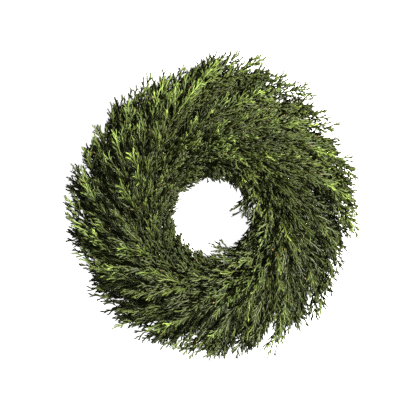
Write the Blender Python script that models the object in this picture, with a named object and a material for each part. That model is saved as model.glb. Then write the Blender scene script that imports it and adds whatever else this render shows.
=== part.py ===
"""A cypress wreath: leafy sprays bound in threes round a wire ring, lying on its back with its face up.

Metres, +Z up out of the wreath's face, +Y towards the wreath's top. Seen from the front the sprays swirl
clockwise. Each bunch has a spray on the ring's outer side, one on its face and one on its inner side, whose
cut ends lie along the ring inside the turns of one binding wire.
"""

import math
import random

import bmesh
import bpy
import numpy as np
from mathutils import Vector

# The ring and the wire
RING_RADIUS = 0.127
RING_WIRE = 0.002  # radius of the ring's own wire
RING_HEIGHT = 0.024  # of the ring's middle above the surface that the wreath lies on
RING_SEGMENTS = 48
RING_SIDES = 6
BINDING_WIRE = 0.0004  # radius
TURNS = 3  # of the binding wire round each bunch
POINTS_A_TURN = 7
TURNS_START = 0.0035  # along the ring, from a bunch's cut ends
TURNS_END = 0.0135

# The bunches
BUNCHES = 18
BUTT_LENGTH = 0.018  # of each stem that lies along the ring
BUTT_RADIUS = 0.0021
GAP = 0.0004  # between pieces that touch
STEM_TIP_RADIUS = 0.0009

# The wreath's reach from the ring's middle, for tips in the direction of an angle
OUTER_REACH = 0.275
OUTER_TOP_EXTRA = 0.012
OUTER_RIGHT_EXTRA = 0.003
PEAK_EXTRA = 0.036  # of the tuft that stands highest at the wreath's top
PEAK_ANGLE = math.radians(82)
PEAK_WIDTH = math.radians(16)
FACE_REACH_LESS = 0.016  # than an outer spray's
INNER_REACH = 0.072
INNER_TOP_LESS = 0.006
LONG_INNER = {1: 0.049, 15: 0.040}  # reach of the two inner sprays whose tips stick out into the hole

# The side twigs
TWIG_BUD = 0.0030  # length of stem that a twig grows from
TWIG_TIP_RADIUS = 0.0003
TWIG_CLEARANCE = 0.0005
FLOOR_CLEARANCE = 0.0015
BINDING_CLEARANCE = 0.0082  # of twigs from the ring's middle line
BOUNDS_TESTED_AT = (0.1, 0.3, 0.6, 1.0)  # parts of a twig's length
HOLE_CLEAR = 0.062  # radius about the ring's middle that no twig enters
LAST_WHORL = 0.90  # of the stem's length
TWIG_LEAN = (17, 31)  # degrees from the stem
TWIG_TURN = 18  # degrees, the most that a twig is turned to either side of its bud's middle
TWIG_SWELL = (0.15, 0.87)  # the parts of a half wave that a spray's twig lengths follow
TWIG_SPAN = (0.82, 1.12)  # of the length that its whorl calls for
NECK_HALF_WIDTH = 0.0010  # of a forked twig, where it forks
NECK_RADIUS = 1.5 * NECK_HALF_WIDTH  # that covers the neck's corners
FORK_AT = 0.48  # of a forked twig's length
SHORT_PRONG_AT = 0.85
FORK_SIDEWAYS = 0.226
FORK_UP = 0.082
# How a twig is bent, swung round its stem and shortened, one try after another, until it is clear
TRIES = [
    (math.radians(bend), math.radians(swing), share)
    for share in (1.0, 0.8, 0.6)
    for swing in (0, 20, -20, 40, -40)
    for bend in (0, -6, 8)
]

# The stems' sections
STEM_SAMPLES = 120
STEM_SIDES = 3
FIRST_CORNER = math.radians(-150)  # so that one side of an untwisted stem faces down
TWIST = math.radians(9)  # from each ring of a stem to the next

# Each side of the ring that carries a spray of every bunch: the direction round the ring's section, the angle
# that the spray sweeps round the wreath, the power by which it turns away from the ring, its whorls of twigs,
# the longest twig and the part that is bare
SIDES = {
    "outer": {"section": -30, "sweep": 1.12, "curve": 2.2, "whorls": 12, "twig": 0.062, "bare": 0.17},
    "face": {"section": 90, "sweep": 1.52, "curve": 2.2, "whorls": 12, "twig": 0.062, "bare": 0.10},
    "inner": {"section": 210, "sweep": 0.72, "curve": 2.0, "whorls": 7, "twig": 0.044, "bare": 0.22},
}
FACE_RISE = 0.052
FACE_RISE_END = 0.6  # of a face spray's way to its tip
FACE_DROOP = 0.024  # of a face spray's tip from its highest part
FACE_DROOP_START = 0.5
INNER_RISE = 0.026
LOW_FROM, LOW_TO = 0.52, 0.70  # the part of an outer spray that droops to the surface
OUTER_TIP_RISE = 0.024
OUTER_TIP_CURVE = 1.5

# How much sprays differ
SWEEP_SPAN = (-0.05, 0.05)
REACH_SPAN = (-0.010, 0.006)
RISE_SPAN = (0.85, 1.15)
LOW_SPAN = (0.002, 0.006)
RESTING_BUNCHES = 3  # one outer spray in so many touches the surface

SHARP_EDGE = math.radians(50)

FOLIAGE = ("cypress foliage", (0.085, 0.125, 0.040), 0.62, 0.0)
RING_METAL = ("ring wire", (0.045, 0.060, 0.040), 0.45, 1.0)
BINDING_METAL = ("binding wire", (0.060, 0.090, 0.045), 0.40, 1.0)


def smooth(x):
    """Goes from 0 to 1 with no slope at either end."""
    x = min(max(x, 0.0), 1.0)
    return x * x * (3 - 2 * x)


def material(look):
    name, colour, roughness, metallic = look
    mat = bpy.data.materials.new(name)
    mat.use_nodes = True
    shader = mat.node_tree.nodes["Principled BSDF"]
    shader.inputs["Base Color"].default_value = (*colour, 1.0)
    shader.inputs["Roughness"].default_value = roughness
    shader.inputs["Metallic"].default_value = metallic
    return mat


def add_object(name, bm, mat):
    bmesh.ops.recalc_face_normals(bm, faces=bm.faces)
    mesh = bpy.data.meshes.new(name)
    bm.to_mesh(mesh)
    bm.free()
    mesh.materials.append(mat)
    mesh.shade_smooth()
    mesh.set_sharp_from_angle(angle=SHARP_EDGE)
    obj = bpy.data.objects.new(name, mesh)
    bpy.context.scene.collection.objects.link(obj)
    return obj


def ring_point(angle, outward, up):
    """A point beside the ring: at an angle round it, and so far outward and up from its middle line."""
    reach = RING_RADIUS + outward
    return Vector((reach * math.cos(angle), reach * math.sin(angle), RING_HEIGHT + up))


def section_frame(before, after):
    """The direction along a path, and the two directions across it, the second one upward."""
    along = (after - before).normalized()
    side = along.cross(Vector((0, 0, 1))).normalized()
    return along, side, side.cross(along)


def add_ring(bm, centre, side, up, radius, sides, first_angle):
    corners = []
    for k in range(sides):
        angle = first_angle + 2 * math.pi * k / sides
        corners.append(bm.verts.new(centre + radius * (math.cos(angle) * side + math.sin(angle) * up)))
    return corners


def join_rings(bm, first, second, left_open=()):
    sides = len(first)
    for k in range(sides):
        if k not in left_open:
            n = (k + 1) % sides
            bm.faces.new((first[k], first[n], second[n], second[k]))


def close_to_point(bm, loop, point):
    tip = bm.verts.new(point)
    for k in range(len(loop)):
        bm.faces.new((loop[k], loop[(k + 1) % len(loop)], tip))


# The ring frame and the binding wire


def make_ring_frame(mat):
    bm = bmesh.new()
    rings = []
    for i in range(RING_SEGMENTS):
        angle = 2 * math.pi * i / RING_SEGMENTS
        outward = Vector((math.cos(angle), math.sin(angle), 0))
        rings.append(
            add_ring(bm, ring_point(angle, 0, 0), outward, Vector((0, 0, 1)), RING_WIRE, RING_SIDES, 0)
        )
    for i, ring in enumerate(rings):
        join_rings(bm, ring, rings[(i + 1) % RING_SEGMENTS])
    return add_object("ring_frame", bm, mat)


def butt_distance():
    """From the ring's middle line to a stem's, where the stem's flat side lies along the ring."""
    return RING_WIRE + GAP + BUTT_RADIUS * math.cos(math.pi / STEM_SIDES)


def turn_radius():
    """Of the binding wire's turns, at their corners, so that the flats between them clear the stems too."""
    clear = butt_distance() + BUTT_RADIUS + GAP + BINDING_WIRE
    return clear / math.cos(math.pi / POINTS_A_TURN)


def binding_path():
    """Tight turns round each bunch's cut ends, and a taut run under the ring from each bunch to the next."""
    points = []
    for bunch in range(BUNCHES):
        start = bunch_angle(bunch)
        count = TURNS * POINTS_A_TURN
        for i in range(count + 1):
            along = TURNS_START + (TURNS_END - TURNS_START) * i / count
            turn = -math.pi / 2 + 2 * math.pi * TURNS * i / count
            radius = turn_radius()
            points.append(
                ring_point(start - along / RING_RADIUS, radius * math.cos(turn), radius * math.sin(turn))
            )
    return points


def make_binding_wire(mat):
    bm = bmesh.new()
    points = binding_path()
    rings = []
    across = Vector((0, 0, 1))
    for i, point in enumerate(points):
        along = (points[min(i + 1, len(points) - 1)] - points[max(i - 1, 0)]).normalized()
        across = (across - along * across.dot(along)).normalized()
        rings.append(add_ring(bm, point, across, along.cross(across), BINDING_WIRE, 3, 0))
    for first, second in zip(rings, rings[1:]):
        join_rings(bm, first, second)
    bm.faces.new(rings[0])
    bm.faces.new(rings[-1])
    return add_object("binding_wire", bm, mat)


# Where each spray's stem runs


def bunch_angle(bunch):
    """The angle of a bunch's cut ends. The stems run clockwise from there."""
    return -2 * math.pi * bunch / BUNCHES


def stem_reach(side, bunch, angle):
    """How far from the ring's middle a stem's tip is, at the angle that it ends at."""
    if side == "inner":
        return LONG_INNER.get(bunch, INNER_REACH - INNER_TOP_LESS * math.sin(angle))
    off_peak = (angle - PEAK_ANGLE + math.pi) % (2 * math.pi) - math.pi
    peak = PEAK_EXTRA * math.exp(-((off_peak / PEAK_WIDTH) ** 2))
    tilt = OUTER_TOP_EXTRA * math.sin(angle) + OUTER_RIGHT_EXTRA * math.cos(angle)
    return OUTER_REACH + tilt + peak


def stem_rise(side, part, height_there, draw):
    """Height of the stem's middle line, or an outer stem's underside, at a part of its way to its tip."""
    if side == "face":
        droop = FACE_DROOP * smooth((part - FACE_DROOP_START) / (1 - FACE_DROOP_START))
        return height_there + FACE_RISE * draw["rise"] * smooth(part / FACE_RISE_END) - droop
    if side == "inner":
        return height_there + INNER_RISE * draw["rise"] * smooth(part)
    under = height_there - BUTT_RADIUS / 2
    if part < LOW_FROM:
        return under + (draw["low"] - under) * smooth(part / LOW_FROM)
    tip_part = max(part - LOW_TO, 0) / (1 - LOW_TO)
    return draw["low"] + OUTER_TIP_RISE * draw["rise"] * tip_part**OUTER_TIP_CURVE


def stem_line(side, bunch, draw):
    """Closely spaced points along a stem, from its cut end to its tip."""
    spec = SIDES[side]
    section = math.radians(spec["section"])
    outward = butt_distance() * math.cos(section)
    up = butt_distance() * math.sin(section)
    start = bunch_angle(bunch)
    butt_sweep = BUTT_LENGTH / RING_RADIUS
    sweep = spec["sweep"] + draw["sweep"]
    reach = stem_reach(side, bunch, start - butt_sweep - sweep) + draw["reach"]
    points = []
    for i in range(STEM_SAMPLES + 1):
        turned = (butt_sweep + sweep) * i / STEM_SAMPLES
        part = max(turned - butt_sweep, 0) / sweep
        away = outward + (reach - RING_RADIUS - outward) * part ** spec["curve"]
        height = stem_rise(side, part, RING_HEIGHT + up, draw)
        point = ring_point(start - turned, away, 0)
        point.z = height
        points.append(point)
    return points


def at_length(points, lengths):
    """The points at given shares of a path's length."""
    steps = [0.0]
    for a, b in zip(points, points[1:]):
        steps.append(steps[-1] + (b - a).length)
    out = []
    for share in lengths:
        target = share * steps[-1]
        i = max(k for k in range(len(points) - 1) if steps[k] <= target + 1e-9)
        f = (target - steps[i]) / (steps[i + 1] - steps[i])
        out.append(points[i].lerp(points[i + 1], min(f, 1.0)))
    return out, steps[-1]


def spray_draw(side, bunch):
    """What differs from one spray to the next."""
    rng = random.Random(100 * list(SIDES).index(side) + bunch)
    sweep = rng.uniform(*SWEEP_SPAN)
    reach = 0 if side == "inner" else rng.uniform(*REACH_SPAN)
    if side == "face":
        reach -= FACE_REACH_LESS
    rise = rng.uniform(*RISE_SPAN)
    rests = side != "outer" or bunch % RESTING_BUNCHES == 0
    low = 0.0 if rests else rng.uniform(*LOW_SPAN)
    return {"rng": rng, "sweep": sweep, "reach": reach, "rise": rise, "low": low}


# The space that the pieces fill


class Rods:
    """Tapering rods that stand for stems and twigs, to keep each new twig clear of what is in place."""

    def __init__(self, capacity=6000):
        self.start = np.zeros((capacity, 3))
        self.run = np.zeros((capacity, 3))
        self.radius = np.zeros((capacity, 2))
        self.spray = np.zeros(capacity, int)
        self.whorl = np.zeros(capacity, int)  # -1 for the stem itself
        self.count = 0

    def add(self, rod, spray, whorl):
        start, end, first_radius, last_radius = rod
        i = self.count
        self.start[i] = start
        self.run[i] = end - start
        self.radius[i] = first_radius, last_radius
        self.spray[i], self.whorl[i] = spray, whorl
        self.count += 1

    def gap(self, rod, chosen):
        """The least gap between a rod and the chosen ones, from the two lines' closest points."""
        start, end, first_radius, last_radius = rod
        n = self.count
        chosen = chosen[:n]
        if not chosen.any():
            return 1.0
        other, run = self.start[:n][chosen], self.run[:n][chosen]
        radius = self.radius[:n][chosen]
        way = np.array(end - start)
        between = np.array(start) - other
        a = way @ way
        e = np.einsum("ij,ij->i", run, run)
        f = np.einsum("ij,ij->i", run, between)
        c = between @ way
        b = run @ way
        cross = a * e - b * b
        s = np.where(cross > 1e-16, np.clip((b * f - c * e) / np.maximum(cross, 1e-16), 0, 1), 0)
        t = (b * s + f) / e
        s = np.where(t < 0, np.clip(-c / a, 0, 1), np.where(t > 1, np.clip((b - c) / a, 0, 1), s))
        t = np.clip(t, 0, 1)
        apart = between + s[:, None] * way - t[:, None] * run
        filled = first_radius + (last_radius - first_radius) * s
        filled = filled + radius[:, 0] + (radius[:, 1] - radius[:, 0]) * t
        return float((np.linalg.norm(apart, axis=1) - filled).min())


def inside_bounds(rod):
    """Is a twig above the surface, outside the hole and clear of the binding round the ring?"""
    start, end, first_radius, last_radius = rod
    for share in BOUNDS_TESTED_AT:
        point = start.lerp(end, share)
        radius = first_radius + (last_radius - first_radius) * share
        across = math.hypot(point.x, point.y)
        beside = math.hypot(across - RING_RADIUS, point.z - RING_HEIGHT)
        if point.z - radius < FLOOR_CLEARANCE or across - radius < HOLE_CLEAR:
            return False
        if beside - radius < BINDING_CLEARANCE:
            return False
    return True


# The sprays


def lay_stem(side, bunch):
    """A stem's rings from its cut end to its tip, each a centre, radius, frame and first angle."""
    spec = SIDES[side]
    draw = spray_draw(side, bunch)
    line = stem_line(side, bunch, draw)
    _, length = at_length(line, [0])
    first_whorl = spec["bare"] + BUTT_LENGTH / length
    shares = [0.0, BUTT_LENGTH / length]
    whorls = spec["whorls"]
    for i in range(whorls):
        share = first_whorl + (LAST_WHORL - first_whorl) * i / (whorls - 1)
        shares += [share, share + TWIG_BUD / length]
    shares.append(1.0)
    centres, _ = at_length(line, shares)
    rings = []
    for i, centre in enumerate(centres):
        radius = BUTT_RADIUS + (STEM_TIP_RADIUS - BUTT_RADIUS) * shares[i]
        before = centres[max(i - 1, 0)]
        after = centres[min(i + 1, len(centres) - 1)]
        along, across, up = section_frame(before, after)
        twist = 0.0 if side == "outer" else TWIST * max(i - 1, 0)
        if side == "outer":
            centre = centre + Vector((0, 0, radius / 2))
        rings.append(
            {"centre": centre, "radius": radius, "along": along, "across": across, "up": up, "twist": twist}
        )
    return {"side": side, "bunch": bunch, "rings": rings, "draw": draw, "whorls": whorls}


def bud_face(stem, whorl, face):
    """Where a twig can grow: the middle of one side of a whorl's short stretch, its outward and sideways."""
    ring = stem["rings"][2 + 2 * whorl]
    nxt = stem["rings"][3 + 2 * whorl]
    angle = FIRST_CORNER + ring["twist"] + (face + 0.5) * 2 * math.pi / STEM_SIDES
    outward = math.cos(angle) * ring["across"] + math.sin(angle) * ring["up"]
    inset = ring["radius"] * math.cos(math.pi / STEM_SIDES)
    middle = (ring["centre"] + nxt["centre"]) / 2 + inset * outward
    return middle, outward, ring["along"].cross(outward)


def shape_twig(stem, whorl, face, lean, turn, length, forked):
    """A twig as rods, with what its mesh needs: its neck's frame and its one or two tips."""
    middle, outward, sideways = bud_face(stem, whorl, face)
    ring = stem["rings"][2 + 2 * whorl]
    away = math.cos(turn) * outward + math.sin(turn) * sideways
    way = (math.cos(lean) * ring["along"] + math.sin(lean) * away).normalized()
    across = (sideways - way * sideways.dot(way)).normalized()
    upper = across.cross(way)
    if upper.dot(outward) < 0:
        upper.negate()
    root_radius = ring["radius"] * math.sin(math.pi / STEM_SIDES)
    if not forked:
        tip = middle + way * length
        return {"rods": [(middle, tip, root_radius, TWIG_TIP_RADIUS)], "tips": [tip]}
    neck = middle + way * (length * FORK_AT)
    spread = FORK_SIDEWAYS * across + FORK_UP * upper
    tips = []
    for sign, share in ((1, 1 - FORK_AT), (-1, SHORT_PRONG_AT - FORK_AT)):
        tips.append(neck + (way + sign * spread).normalized() * length * share)
    rods = [(middle, neck, root_radius, NECK_RADIUS)]
    rods += [(neck, tip, NECK_RADIUS, TWIG_TIP_RADIUS) for tip in tips]
    return {"rods": rods, "tips": tips, "neck": (neck, across, upper)}


def twig_is_clear(twig, spray, whorl, rods):
    n = rods.count
    own = rods.spray[:n] == spray
    own_stem = own & (rods.whorl[:n] < 0)
    others = ~own_stem & ~(own & (rods.whorl[:n] == whorl))
    for i, rod in enumerate(twig["rods"]):
        if not inside_bounds(rod) or rods.gap(rod, others) < TWIG_CLEARANCE:
            return False
        past_root = rod
        if i == 0:
            start, end, first_radius, last_radius = rod
            half = (start + end) / 2
            past_root = (half, end, (first_radius + last_radius) / 2, last_radius)
        if rods.gap(past_root, own_stem) < TWIG_CLEARANCE:
            return False
    return True


def twig_length(stem, whorl):
    """Side twigs are longest in the middle of a spray and shorten towards its tip."""
    first, last = TWIG_SWELL
    part = first + (last - first) * whorl / (stem["whorls"] - 1)
    return SIDES[stem["side"]]["twig"] * (1 + math.sin(math.pi * part)) / 2


def grow_twigs(stems, rods):
    """Tries each bud of every stem, bending or shortening a twig that would come too near another."""
    for number, stem in enumerate(stems):
        rng = stem["draw"]["rng"]
        stem["twigs"] = {}
        for whorl in range(stem["whorls"]):
            for face in range(STEM_SIDES):
                lean = math.radians(rng.uniform(*TWIG_LEAN))
                turn = math.radians(rng.uniform(-TWIG_TURN, TWIG_TURN))
                length = twig_length(stem, whorl) * rng.uniform(*TWIG_SPAN)
                forked = (whorl + face) % STEM_SIDES == 0
                for bend, swing, share in TRIES:
                    twig = shape_twig(stem, whorl, face, lean + bend, turn + swing, length * share, forked)
                    if twig_is_clear(twig, number, whorl, rods):
                        stem["twigs"][whorl, face] = twig
                        for rod in twig["rods"]:
                            rods.add(rod, number, whorl)
                        break


def raise_twig(bm, loop, twig):
    """Raises a twig from the four corners of its bud: two nearer the cut end, then two nearer the tip."""
    if "neck" not in twig:
        close_to_point(bm, loop, twig["tips"][0])
        return
    neck, across, upper = twig["neck"]
    if across.dot(loop[1].co - loop[0].co) < 0:
        across = -across
    half = NECK_HALF_WIDTH
    corners = [(-1, 1), (1, 1), (1, -1), (-1, -1)]
    top = [bm.verts.new(neck + half * (x * across + y * upper)) for x, y in corners]
    join_rings(bm, loop, top)
    first, second = twig["tips"]
    if (first - neck).dot(across) < 0:
        first, second = second, first
    close_to_point(bm, (top[0], top[1], top[2]), first)
    close_to_point(bm, (top[0], top[2], top[3]), second)


def make_spray(stem, mat):
    bm = bmesh.new()
    rings = []
    for ring in stem["rings"][:-1]:
        rings.append(
            add_ring(
                bm,
                ring["centre"],
                ring["across"],
                ring["up"],
                ring["radius"],
                STEM_SIDES,
                FIRST_CORNER + ring["twist"],
            )
        )
    bm.faces.new(rings[0])
    for i, (first, second) in enumerate(zip(rings, rings[1:])):
        whorl, at_bud = divmod(i - 2, 2)
        grown = {}
        if i >= 2 and at_bud == 0:
            grown = {f: stem["twigs"][w, f] for w, f in stem["twigs"] if w == whorl}
        join_rings(bm, first, second, left_open=grown)
        for face, twig in grown.items():
            nxt = (face + 1) % STEM_SIDES
            raise_twig(bm, (first[face], first[nxt], second[nxt], second[face]), twig)
    close_to_point(bm, rings[-1], stem["rings"][-1]["centre"])
    return add_object(f"spray_{stem['side']}_{stem['bunch'] + 1:02d}", bm, mat)


def main():
    for obj in list(bpy.data.objects):
        bpy.data.objects.remove(obj)
    parts = [make_ring_frame(material(RING_METAL)), make_binding_wire(material(BINDING_METAL))]
    stems = [lay_stem(side, bunch) for side in SIDES for bunch in range(BUNCHES)]
    rods = Rods()
    for number, stem in enumerate(stems):
        for a, b in zip(stem["rings"], stem["rings"][1:]):
            rods.add((a["centre"], b["centre"], a["radius"], b["radius"]), number, -1)
    grow_twigs(stems, rods)
    foliage = material(FOLIAGE)
    parts += [make_spray(stem, foliage) for stem in stems]

    # The origin goes under the middle of the wreath's box, on the surface that it lies on.
    corners = np.array([v.co for part in parts for v in part.data.vertices])
    middle = (corners.min(axis=0) + corners.max(axis=0)) / 2
    for part in parts:
        for vertex in part.data.vertices:
            vertex.co.x -= middle[0]
            vertex.co.y -= middle[1]


main()
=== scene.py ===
"""The cypress wreath as photographed: fine scale-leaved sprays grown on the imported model's stems and twigs.

Metres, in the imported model's frame: the wreath lies on its back with its face up, and its top towards +Y.
"""

import math

import bpy
import numpy as np
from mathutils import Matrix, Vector


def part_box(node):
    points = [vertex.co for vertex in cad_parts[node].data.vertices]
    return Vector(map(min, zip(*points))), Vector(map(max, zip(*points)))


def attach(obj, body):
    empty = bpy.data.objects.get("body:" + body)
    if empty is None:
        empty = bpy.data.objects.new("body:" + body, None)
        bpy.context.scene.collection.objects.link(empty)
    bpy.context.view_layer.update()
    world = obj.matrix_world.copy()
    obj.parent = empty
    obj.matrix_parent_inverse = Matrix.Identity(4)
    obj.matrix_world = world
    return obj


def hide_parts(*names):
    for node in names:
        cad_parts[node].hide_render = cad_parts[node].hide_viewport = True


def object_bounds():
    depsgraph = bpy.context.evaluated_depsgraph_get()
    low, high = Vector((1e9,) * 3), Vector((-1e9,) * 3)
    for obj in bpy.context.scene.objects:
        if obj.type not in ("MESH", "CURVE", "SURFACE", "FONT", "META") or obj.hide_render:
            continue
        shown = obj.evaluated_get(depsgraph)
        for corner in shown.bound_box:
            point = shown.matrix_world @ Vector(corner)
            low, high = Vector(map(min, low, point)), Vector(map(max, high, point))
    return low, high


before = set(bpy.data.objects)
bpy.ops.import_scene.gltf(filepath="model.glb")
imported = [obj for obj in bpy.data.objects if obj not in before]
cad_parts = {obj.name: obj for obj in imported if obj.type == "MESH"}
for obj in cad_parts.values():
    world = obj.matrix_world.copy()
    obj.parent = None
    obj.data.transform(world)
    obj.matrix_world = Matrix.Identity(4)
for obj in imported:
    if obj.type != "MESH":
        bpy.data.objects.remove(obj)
CAD_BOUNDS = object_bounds()

# The ring and the bunches, as in the model
RING_RADIUS = 0.127
RING_WIRE = 0.002  # radius
RING_POINTS = 180
BUNCHES = 18
BUTT_RADIUS = 0.0021  # of a cut stem's corners
STEM_SIDES = 3
GAP = 0.0004  # between pieces that touch
BINDING_WIRE = 0.0004  # radius
BINDING_GAP = 0.00005  # between the binding and the cut stems
TURNS = 3  # of the binding round each bunch
TURNS_START, TURNS_END = 0.0035, 0.0135  # along the ring, from a bunch's cut ends
POINTS_A_TURN = 28

# Reading the model's sprays
TIP_ANGLE = 1.6  # the faces' angles at a tip add up to less
TWIG_CORNERS = 4  # that a single twig's tip stands on

# Stems: round where the model's are three-sided, bark at the cut end, and then clad in scale leaves
STEM_RINGS = 32
ROUND_SHARE = 0.64  # of the model's corner radius, which keeps the section
BARE_SHARE = 0.22  # of the stem's length
STEM_CLAD = 0.00022  # that the scale leaves add to the radius
CLAD_FROM, CLAD_OVER = 0.15, 0.15  # shares of the stem's length
SIDES = {"bark": 8, "stem": 7, "side stem": 6, "twig": 4, "branchlet": 3, "bud": 5}

# Side stems leave each spray's stem low down and fill the gaps round it. A side stem's tip is turned round
# the ring by some degrees, reaches some share of the stem's way out or in, and is lifted by some metres.
SIDE_FROM = 0.10  # of the stem's length
SIDE_STEMS = {
    "outer": (
        {"turn": (4, 8), "reach": (1.0, 1.08), "lift": (0.002, 0.020)},
        {"turn": (11, 15), "reach": (1.0, 1.08), "lift": (0.008, 0.030)},
        {"turn": (-5, 0), "reach": (0.86, 0.97), "lift": (-0.010, 0.004)},
        {"turn": (15, 19), "reach": (0.84, 0.98), "lift": (-0.004, 0.008)},
    ),
    "face": (
        {"turn": (8, 12), "reach": (0.92, 1.10), "lift": (-0.030, -0.006)},
        {"turn": (1, 6), "reach": (0.45, 0.75), "lift": (-0.020, 0.002)},
        {"turn": (12, 17), "reach": (0.88, 1.05), "lift": (-0.055, -0.030)},
    ),
    "inner": (
        {"turn": (8, 12), "reach": (0.75, 0.95), "lift": (-0.012, 0.004)},
        {"turn": (3, 8), "reach": (0.35, 0.65), "lift": (0.010, 0.026)},
        {"turn": (11, 16), "reach": (-0.1, 0.3), "lift": (0.024, 0.046)},
    ),
}
SIDE_POINTS = 13
SIDE_SWEEP = 1.2  # above 1, a side stem turns away late
SIDE_RADIUS = 0.8  # of the stem's
SIDE_LEAST_HEIGHT = 0.004
FULL_SIDE = math.radians(-40)  # where the wreath reaches furthest out
FULLER = 0.05  # share that the side stems there reach further
SIDE_TWIGS = {"outer": 1.15, "face": 0.95, "inner": 1.35}  # for each of the model's
THIN_SIDE = math.radians(50)  # where the model's sprays stand furthest apart
THIN_FILL = 0.25  # share of side twigs more there, and less across from it

# More twigs along the stems, each like its neighbours in the model
MORE_TWIGS = {"outer": 0.8, "face": 0.4, "inner": 1.0}  # for each of the model's
MORE_FROM, MORE_TO = 0.07, 0.99  # of the stem's length
MORE_CROWDING = 0.8  # towards the stem's tip, below 1
MORE_LEAN = (14, 30)  # degrees
MORE_NEIGHBOURS = 4
MORE_LENGTH = (0.8, 1.2)  # of its neighbours'
GOLDEN_TURN = math.radians(137.5)  # round the stem, from one to the next
TURN_WOBBLE = 0.4
NEARBY = 0.01  # of a stem's length, over which its direction is read

# Sprigs that turn from the inner stems into the hole
EDGE_SPRIGS = 5  # on each stem
EDGE_SPAN = (0.15, 0.9)  # of the stem's length
EDGE_TURN = (0.5, 1.4)  # towards the hole, where 1 is halfway
EDGE_LIFT = (-0.1, 0.5)
EDGE_LENGTH = (0.016, 0.034)

# The twigs
TWIG_BASE_RADIUS = 0.00165
TWIG_TIP_RADIUS = 0.00125
TWIG_USUAL = 0.05  # length of a twig with that base radius
TWIG_SIZES = (0.65, 1.1)  # least and most of that radius
TWIG_RINGS = 4
TWIG_BOW = (0.03, 0.11)  # of its length
SWAY = 0.022  # of a curve's length, to either side of its bow
FLATNESS = 1.2  # how far a twig's branchlets turn to lie level
LEVEL_SPREAD = 0.36
STAND_OUT = 0.003  # of a twig's tip from the model's box
LEAST_KEPT = 0.2  # of a twig drawn back to that box

# The branchlets, fine cords clad in scale leaves, to either side of each twig in turn
BRANCHLET_FROM, BRANCHLET_TO = 0.10, 0.90  # of the twig's length
BRANCHLET_GAP = 0.0068
BRANCHLET_LEAST = 4  # on a twig
BRANCHLET_WOBBLE = 0.35  # of the gap
BRANCHLET_LOWEST = 0.04  # part of the twig's length
BRANCHLET_HABIT = {"lean": (16, 28), "roll": 0.26, "bend": 0.25, "droop": 0.22}
BRANCHLET_LONGEST = 0.042
BRANCHLET_SHARE = 0.60  # of its twig's length, low on the twig
BRANCHLET_TOP = 0.24  # share of that length, at the twig's tip
BRANCHLET_FALL = 0.8
BRANCHLET_LENGTH = (0.62, 1.12)
FOOT_PART, FOOT_SHARE = 0.2, 0.55  # the part of a twig where they are shorter, and their least share there
BRANCHLET_RADIUS = 0.00132
OLD_FATTER = 0.35  # share that the deepest, oldest branchlets are fatter

# The spurs on the longer branchlets
LEAST_FOR_SPURS = 0.012
SHADED = 0.6  # depth in the foliage past which branchlets are bare of spurs
SPUR_GAP = 0.0110
SPUR_MOST = 3
SPUR_FROM, SPUR_OVER = 0.22, 0.62  # of the branchlet's length
SPUR_WOBBLE = (0.1, 0.9)
SPUR_HABIT = {"lean": (16, 28), "roll": 0.3, "bend": 0.15, "droop": 0.0}
SPUR_SHARE = (0.34, 0.52)  # of the branchlet's length
SPUR_LOW, SPUR_FALL = 1.15, 0.5  # low on the branchlet, and how much less at its tip
SPUR_LEAST = 0.0035
SPUR_RADIUS = 0.00118

# Branchlets and spurs alike
FINE_BOW = (0.02, 0.08)  # of the length
NORMAL_SPREAD = 0.25
RADIUS_SPREAD = (0.85, 1.15)
TIP_SHARE = 0.86  # of the radius
FINE_RINGS = 2
BLUNT = 0.5  # below 1, the last ring stands near the tip

# How tubes look: a tint, from dark at 0 to bright at 1, and how pale they are beside it
SPRAY_SHARE = 0.35  # of a twig's tint that is its spray's own
TINT_SPREAD = 1.4
TINT_WOBBLE = 0.16
STEM_PALE, TWIG_PALE, SPUR_PALE = 0.2, 1.0, 0.4
BRANCHLET_PALE, PALER = 0.15, 0.3  # at a twig's foot, and how much more at its tip

# Rust-brown cone buds
BUD_SHARE = 0.022  # of the spurs that end in one
BUD_LENGTH = 0.0046
BUD_RADIUS = 0.00115
BUD_PLACES = np.array([0.0, 0.25, 0.6, 0.85, 1.0])  # of its rings and its tip
BUD_PROFILE = np.array([0.45, 0.95, 1.0, 0.62])
BUD_SUNK = 0.2  # share of it behind the spur's tip

FLOOR_GAP = 0.0004
FIRST_SEED = 7000

# The hole among the tips. Two groups of tips reach into it.
HOLE_SHIFT = np.array([0.0057, -0.0011])  # from the ring's middle
HOLE_CLEAR = 0.074  # radius
HOLE_RAGGED = 0.13
HOLE_ROUNDS, HOLE_TRIM = 7, 0.1  # what reaches in loses a tenth of its length each round
REACH_IN_HOLE = {"spray_inner_02": 0.040, "spray_inner_16": 0.034}
REACHING = {"spray_inner_02": 0.25, "spray_inner_16": 0.40}  # share of their twigs that may
HOLE_SHADE = 0.6  # least depth of what stands well in the hole, which paints it darker as shade
HOLE_EDGE = 0.012

# The rim, where the growth is youngest
RIM_FROM, RIM_WIDTH = 0.215, 0.05  # out from the wreath's middle
RIM_SHALLOWER = 0.35  # share that it counts as less deep, which also lightens its painted shade
RIM_FATTER = 0.10  # share that its branchlets and spurs are fatter

# How deep a point lies in the foliage, read from a grid of the twigs' heights
CANOPY_STEP = 0.005
CANOPY_SAMPLES = 16  # along each twig
CANOPY_MARGIN = 0.03
CANOPY_SPREAD = 2  # rounds of widening, and as many of smoothing
USUAL_SHARE = 0.75  # of the heights at one distance from the hole, up to the usual one
DEEP = 0.05

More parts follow.
